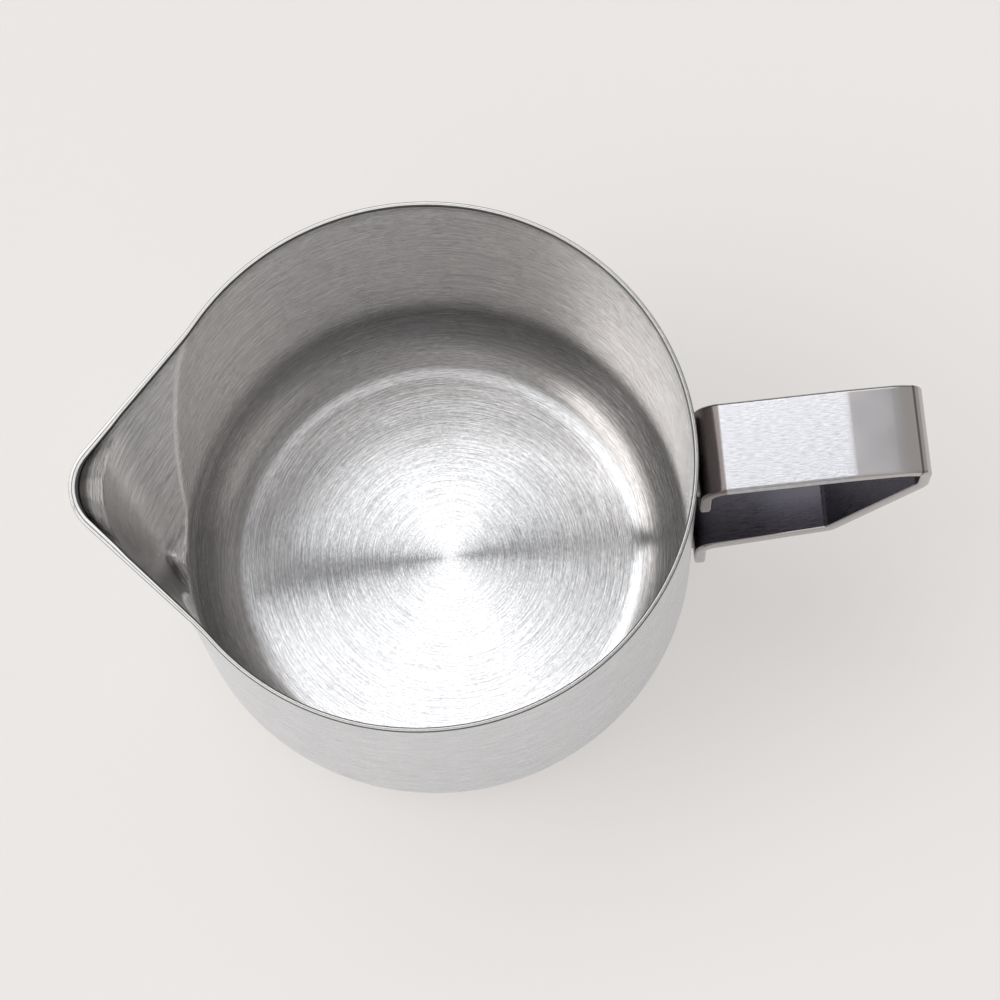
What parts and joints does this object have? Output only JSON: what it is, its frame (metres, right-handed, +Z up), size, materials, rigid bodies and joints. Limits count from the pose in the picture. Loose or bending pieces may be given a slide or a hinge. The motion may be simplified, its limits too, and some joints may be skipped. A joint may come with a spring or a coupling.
{
  "type": "candle melting pot",
  "caption": "Round stainless steel melting pot with a pressed pouring spout, a rounded bottom corner and an angular bent strap handle spot welded to the wall.",
  "frame": {"origin": "on the axis of the round vessel, at the flat face it rests on", "axes": "+X points from the axis along the handle, -X along the pouring spout, +Z is up out of the open rim, +Y completes the right-handed frame"},
  "size_m": [0.1405, 0.09, 0.061],
  "materials": {
    "vessel_steel": "brushed inside, satin outside",
    "handle_steel": "polished, lengthwise grain",
    "weld_steel": "as welded"
  },
  "bodies": {
    "root": {"vessel": "vessel_steel", "handle_strap": "handle_steel", "upper_weld_left": "weld_steel", "upper_weld_right": "weld_steel", "lower_weld_left": "weld_steel", "lower_weld_right": "weld_steel"}
  },
  "joints": []
}
